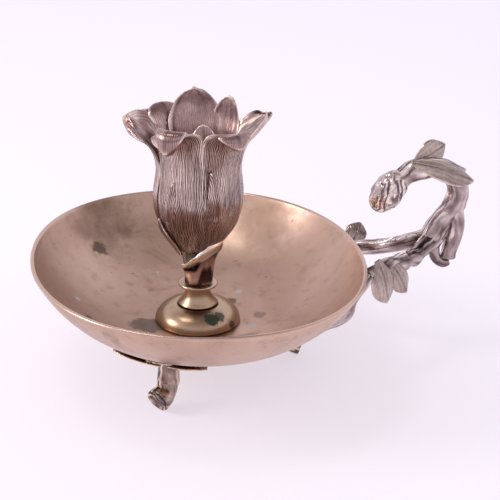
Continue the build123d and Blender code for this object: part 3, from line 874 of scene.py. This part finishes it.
# %% Branches and the twigs along the dish
FRONT_BRANCH = [(97.0, -0.5, 47.0, 4.3), (93.0, -2.6, 44.4, 3.7)]
FRONT_BRANCH += [(89.6, -4.8, 42.6, 3.0), (86.4, -6.8, 41.2, 3.7)]
FRONT_BRANCH += [(83.4, -8.6, 41.4, 2.9), (80.2, -10.4, 41.4, 3.7)]
FRONT_BRANCH += [(76.4, -12.8, 42.2, 3.0), (72.6, -15.2, 42.4, 3.4)]
FRONT_BRANCH += [(67.6, -18.2, 42.4, 2.7), (61.4, -22.0, 42.6, 2.2)]
REAR_BRANCH = [(97.0, 0.5, 46.5, 4.3), (92.0, 2.6, 44.8, 3.6)]
REAR_BRANCH += [(87.0, 5.2, 42.6, 3.2), (82.0, 8.2, 40.6, 2.9)]
REAR_BRANCH += [(76.0, 11.6, 39.0, 3.0), (70.0, 15.2, 37.8, 2.8)]
REAR_BRANCH += [(64.0, 19.0, 37.2, 3.0), (58.5, 22.4, 36.8, 2.6)]


def along_wall(azimuths, levels, radii, count=7):
    """Stations of a twig that lies against the dish's outer wall."""
    stations = []
    for i in range(count):
        share = i / (count - 1)
        azimuth = radians(azimuths[0] + (azimuths[1] - azimuths[0]) * share)
        k = levels[0] + (levels[1] - levels[0]) * share
        radius = through(radii, share)[0]
        wiggle = 0.5 * sin(share * 9)
        reach = (HALF_LENGTH * k + radius * 0.55) * (1 + 0.006 * sin(share * 14))
        place = (reach * cos(azimuth), reach * sin(azimuth) * HALF_WIDTH / HALF_LENGTH)
        stations.append((*place, wall_z(k) - 0.4 * radius + wiggle, radius))
    return stations


FRONT_TWIG = along_wall((-20, -47), (0.975, 0.80), [(2.4,), (1.5,), (2.1,), (1.5,), (0.35,)])
REAR_TWIG = along_wall((22, 50), (0.985, 0.99), [(2.2,), (1.7,), (1.9,), (1.3,), (0.35,)])
LIMBS = {
    "handle_branch_front": (FRONT_BRANCH, 48, 120, 0.26, 7.7),
    "handle_branch_rear": (REAR_BRANCH, 48, 120, 0.60, 9.2),
    "dish_twig_front": (FRONT_TWIG, 28, 90, 0.20, 2.2),
    "dish_twig_rear": (REAR_TWIG, 28, 90, 0.20, 4.4),
}
for node, (stations, sides, rings, bark, seed) in LIMBS.items():
    bm = new_mesh()[0]
    limb(bm, stations, sides, rings, bark, seed)
    capped(bm)
    settle(bm, node + "_limb", node, "handle_bronze")

# %% [markdown]
# ## The bud
# The branch ends in a closed bud that hangs toward the dish. It is a drop with small scale
# leaves pressed on it, which show as rounded lumps with dark lines between them.

# %% Bud
BUD_TOP = Vector((81.2, 0, 74.0))
BUD_TIP = Vector((71.8, 0, 61.0))
HEM_WIDTH = 0.035


def bud_spot(direction):
    """Where a point of the unit sphere goes on the bud, with its relief."""
    axis = (BUD_TIP - BUD_TOP).normalized()
    along = direction.z
    side = Vector((0, 1, 0))
    other = axis.cross(side)
    share = (1 - along) / 2
    body = 6.6 * (sin(pi * share**0.85)) ** 0.42 * (0.80 + 0.28 * share)
    flat = Vector((direction.x, direction.y, 0))
    angle = atan2(direction.y, direction.x)
    scales = 0.0
    for tier, (low, high, count, shift) in enumerate(BUD_TIERS):
        wave = 0.5 + 0.5 * cos(angle * count + shift)
        hem = low + (high - low) * wave
        if share > hem - HEM_WIDTH:
            scales = max(scales, (tier + 1) * smooth(hem - HEM_WIDTH, hem, share) / len(BUD_TIERS))
    lump = noise.noise(direction * 2.6)
    pebble = noise.noise(direction * 7.0)
    reach = body * (1 + 0.14 * lump + 0.02 * pebble - 0.03 * scales)
    spot = BUD_TOP + axis * (share * (BUD_TIP - BUD_TOP).length * 1.16 - 1.2)
    if flat.length > 1e-6:
        flat.normalize()
    spot = spot + (side * flat.x + other * flat.y) * reach
    return spot, 0.5 * lump + 0.3 * pebble + 0.3


BUD_TIERS = [(0.30, 0.46, 5, 0.4), (0.52, 0.68, 5, 1.9), (0.74, 0.86, 4, 0.0)]
bm, grain, relief = new_mesh()
bmesh.ops.create_icosphere(bm, subdivisions=6, radius=1)
for vert in bm.verts:
    spot, wear_and_painted_shade = bud_spot(vert.co.normalized())
    vert[grain] = tuple(spot)
    vert[relief] = wear_and_painted_shade
    vert.co = spot * MM
bmesh.ops.recalc_face_normals(bm, faces=bm.faces)
settle(bm, "scaled_bud", "handle_bud", "handle_bronze")

# %% [markdown]
# ## Leaves
# The leaves are spoon shaped, with a broad rounded end, a cut midrib and side veins. Each
# is a sheet bent along its length and cupped across it, then thickened.


# %% Leaves
def leaf(name, root, tip, facing, width, bend=1.0, cup=0.6, seed=0.0):
    """One leaf from root to tip; facing is the side that shows its veins."""
    root, tip = Vector(root), Vector(tip)
    run = tip - root
    length = run.length
    run.normalize()
    facing = Vector(facing)
    up = (facing - run * facing.dot(run)).normalized()
    side = run.cross(up)
    outline = [(1.3,), (width * 0.28,), (width * 0.42,), (width * 0.50,), (width * 0.52,), (width * 0.5,)]
    bm = new_mesh()[0]

    def place(t, s):
        half = through(outline, s)[0] * rounded(s, 0.42)
        x = s * length - abs(t) ** 3 * 0.8 * smooth(0.7, 1, s)
        y = t * half
        arch = bend * sin(pi * s) - cup * t * t * half * 0.35
        wave = 0.25 * sin(4 * t + seed) * smooth(0.4, 1, s)
        midrib = bump_at(0, 0.09, t)
        slant = (s * length * 0.55 - abs(y) * 0.9) / 1.15
        vein = (0.5 + 0.5 * cos(2 * pi * slant)) ** 3 * smooth(0.06, 0.2, abs(t)) * smooth(1.0, 0.8, abs(t))
        height = arch + wave - 0.24 * midrib - 0.07 * vein
        spot = root + run * x + side * y + up * height
        rim = smooth(0.86, 1.0, abs(t)) + smooth(0.93, 1.0, s)
        wear_and_painted_shade = 0.8 * min(rim, 1) - 0.7 * midrib - 0.15 * vein + 0.1
        return spot, (y * 0.8, 0, s * length), wear_and_painted_shade

    laid_blade(bm, 40, 60, place, 1.1)
    capped(bm)
    return settle(bm, name + "_blade", name, "leaf_bronze")


leaf("bud_leaf_upper", (87.6, 2.6, 77.2), (101.4, 6.0, 83.4), (0.1, -1, 0.35), 10.5, 0.8, 0.5, 1.0)
leaf("bud_leaf_front", (84.2, -3.0, 79.8), (109.4, -6.4, 71.6), (0.25, -0.75, 0.75), 10.5, 1.8, 0.9, 2.0)
leaf("bud_leaf_rear", (88.0, 3.2, 78.6), (110.4, 4.0, 72.4), (0.25, 0.45, 0.9), 9.0, 1.6, 0.9, 0.0)
leaf("branch_leaf_lower", (66.0, -20.6, 47.4), (70.4, -22.4, 30.0), (0.45, -1, 0.2), 12.6, 1.4, 0.8, 0.5)
leaf("branch_leaf_upper", (72.0, -17.0, 45.4), (79.8, -17.6, 31.4), (0.35, -1, 0.3), 10.0, 1.6, 0.9, 1.7)
leaf("branch_leaf_rear", (69.0, 20.0, 36.4), (74.6, 25.0, 44.4), (-0.35, -1, 0.3), 9.6, 0.8, 0.5, 2.6)

# %% [markdown]
# ## The feet
# Each foot is a short cut twig that bends outward and stands on its toe. The saw cut shows
# a rim of bark and a half-moon of wood. Above it lies a spray of three small leaves that
# spreads the foot's pull over the thin bowl.


# %% Feet
FOOT_AZIMUTHS = {"front": -120.0, "rear": 120.0, "handle": 0.0}
FOOT_RADIUS = 37.4
TOE_TURN = -22.0


def foot_frame(azimuth):
    """Turns (outward, sideways, up) at a foot into the object's x, y and z."""
    c, s = cos(radians(azimuth)), sin(radians(azimuth))
    return lambda out, side, up: (
        (FOOT_RADIUS + out) * c - side * s, (FOOT_RADIUS + out) * s + side * c, up
    )


def make_foot(name, azimuth):
    """The twig and its saw cut."""
    at = foot_frame(azimuth)
    turn = radians(TOE_TURN)
    top = underside(*at(0, 0, 0)[:2])
    path = [(-0.4, 0.2, top + 0.6, 4.6), (-0.6, 0.3, top - 3.5, 4.1), (-0.7, 0.2, 11.5, 4.0)]
    path += [(-0.4, 0.0, 10.2, 3.9), (0.5, -0.3, 7.6, 4.1), (2.4, -1.0, 5.8, 4.4), (5.0, -2.0, 4.9, 4.6)]
    stations = [(*at(out, side, up), radius) for out, side, up, radius in path]
    bm, grain, relief = new_mesh()
    limb(bm, stations, 48, 80, 0.06, azimuth * 0.1 + 2)
    ends = capped(bm)
    toe = max(ends, key=lambda face: -face.calc_center_median().z)
    cut_end(bm, [toe], 0.7)
    for vert in bm.verts:
        sole = vert.co.z / MM
        if sole < 0.25:
            vert.co.z = 0.25 * MM * 0
            vert[relief] = 0.3
    return settle(bm, f"foot_{name}_twig", f"foot_{name}", "foot_bronze")


def make_spray(name, azimuth):
    """Three leaves that lie against the underside of the dish."""
    at = foot_frame(azimuth)
    bm, grain, relief = new_mesh()
    blades = [((1, 0), (1.0, -20.5), 9.0), ((1, 0), (0.0, 15.5), 8.0), ((-2.0, 0), (11.0, -3.0), 10.5)]
    for number, (root, tip, width) in enumerate(blades):
        run = Vector((tip[0] - root[0], tip[1] - root[1]))
        across = Vector((-run.y, run.x)).normalized()

        def place(t, s, root=root, run=run, across=across, width=width, number=number):
            half = 0.5 * width * (sin(pi * min(s * 0.86 + 0.13, 1.0))) ** 0.7 + 0.15
            spot = Vector(root) + run * s + across * t * half
            x, y, z = at(spot.x, spot.y, 0)
            midrib = bump_at(0, 0.12, t)
            vein = (0.5 + 0.5 * cos(2 * pi * (s * run.length - abs(t) * 3) / 1.8)) ** 3 * (1 - midrib)
            outer_edge = smooth(0.0, 1.0, t * (1, -1, 0)[number])
            stand = 1.2 - 0.3 * number + 1.3 * outer_edge - 0.25 * midrib - 0.12 * vein
            rim = smooth(0.8, 1.0, abs(t))
            wear_and_painted_shade = 0.9 * rim - 0.7 * midrib - 0.5 * vein + 0.1
            return (x, y, underside(x, y) - stand), (t * half, 0, s * run.length), wear_and_painted_shade

        laid_blade(bm, 28, 40, place, 0.9)
    capped(bm)
    return settle(bm, f"foot_leaf_{name}_spray", f"foot_leaf_{name}", "foot_bronze")


for name, azimuth in FOOT_AZIMUTHS.items():
    make_foot(name, azimuth)
    make_spray(name, azimuth)

# %% [markdown]
# ## Pieces that keep their CAD form
# The candle socket, tie rod, washer and nut are plain turned parts. Their CAD meshes are
# right as they are, so they only need their metal.

# %% Metal on the plain pieces
PLAIN = {"candle_socket": "socket_brass", "tie_rod": "fastener_brass"}
PLAIN.update({"tie_washer": "fastener_brass", "tie_nut": "fastener_brass"})
for node, slot in PLAIN.items():
    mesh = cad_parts[node].data
    mesh.materials.clear()
    mesh.materials.append(METALS[slot])
print("kept:", sorted(PLAIN))

# %% [markdown]
# ## Floor, light and camera
# A pale floor runs out to a pale surround. The brass shows mostly what it reflects, so the
# light is broad: a large soft panel above, a weaker one from the side, and a surround that
# is darker low down on the viewer's side, which gives the bowl its brown bands.

# %% Floor and surround
DARK_SIDE = (-0.26, -0.96, 0.05)
bm = bmesh.new()
bmesh.ops.create_grid(bm, x_segments=1, y_segments=1, size=3.0)
floor_mesh = bpy.data.meshes.new("floor")
bm.to_mesh(floor_mesh)
bm.free()
floor = bpy.data.objects.new("floor", floor_mesh)
bpy.context.scene.collection.objects.link(floor)
pale = Finish("pale_floor")
floor_inputs = {"Base Color": tint(190, 186, 192), "Roughness": 0.9, "Metallic": 0.0}
floor_inputs.update({"Emission Color": tint(250, 244, 254), "Emission Strength": 0.55})
paint = pale.node("ShaderNodeBsdfPrincipled", None, floor_inputs)
pale.node("ShaderNodeOutputMaterial", None, {0: paint})
floor.data.materials.append(pale.material)
floor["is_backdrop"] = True

world = bpy.data.worlds.new("surround")
bpy.context.scene.world = world
world.use_nodes = True
sky = Finish("surround", world.node_tree)
toward = sky.node("ShaderNodeTexCoord")
facing_dark = sky.node("ShaderNodeVectorMath", {"operation": "DOT_PRODUCT"}, {0: toward, 1: DARK_SIDE}, 1)
height_up = sky.split(toward, "Z")
dark = sky.range(facing_dark, 0.35, 0.85) * sky.range(height_up, 0.62, 0.30)
shown = sky.mix(dark, tint(236, 232, 244), tint(196, 186, 192))
shown = sky.mix(sky.range(height_up, 0.62, 0.97) * 0.85, shown, tint(140, 126, 120))
seen = sky.node("ShaderNodeLightPath")
shown = sky.mix(seen, shown, tint(253, 252, 255))
light = sky.node("ShaderNodeBackground", None, {0: shown, 1: 1.08})
sky.node("ShaderNodeOutputWorld", None, {0: light})


# %% Lights
def panel(name, place, aim, size, power, colour):
    """A soft square light that faces a point."""
    data = bpy.data.lights.new(name, "AREA")
    data.size = size
    data.energy = power
    data.color = colour
    light = bpy.data.objects.new(name, data)
    light.location = place
    light.rotation_euler = (Vector(aim) - Vector(place)).to_track_quat("-Z", "Y").to_euler()
    bpy.context.scene.collection.objects.link(light)
    return light


panel("top_panel", (-0.26, 0.06, 0.78), (0, 0, 0.04), 0.2, 0.7, (1.0, 0.98, 0.95))
panel("side_panel", (-0.7, 0.1, 0.45), (0, 0, 0.04), 0.3, 2.0, (1.0, 0.97, 0.94))

# %% Camera
VIEW_AZIMUTH, VIEW_ELEVATION, VIEW_ROLL = radians(-15), radians(23), radians(1.3)
VIEW_DISTANCE = 0.546
AIM = Vector((0.02078, 0.00025, 0.047))
level = Vector((sin(VIEW_AZIMUTH), -cos(VIEW_AZIMUTH), 0)) * cos(VIEW_ELEVATION)
away = level + Vector((0, 0, sin(VIEW_ELEVATION)))
right = Vector((cos(VIEW_AZIMUTH), sin(VIEW_AZIMUTH), 0))
upward = away.cross(right)
tilted_right = right * cos(VIEW_ROLL) + upward * sin(VIEW_ROLL)
tilted_up = upward * cos(VIEW_ROLL) - right * sin(VIEW_ROLL)
camera_data = bpy.data.cameras.new("view")
camera_data.sensor_width = 36
camera_data.lens = 100.8
camera = bpy.data.objects.new("view", camera_data)
turn = Matrix((tilted_right, tilted_up, away)).transposed().to_4x4()
camera.matrix_world = Matrix.Translation(AIM + away * VIEW_DISTANCE) @ turn
bpy.context.scene.collection.objects.link(camera)
bpy.context.scene.camera = camera
bpy.context.scene.view_settings.view_transform = "Standard"

# %% [markdown]
# ## Size of the finished pieces
# The finished pieces should fill the same box as the CAD model does; both boxes are printed.

bpy.context.view_layer.update()
low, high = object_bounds()
sizes = {"cad": [list(cad_low), list(cad_high)], "visual": [list(low), list(high)]}
for corner in sizes.values():
    print([[round(v / MM, 1) for v in point] for point in corner])
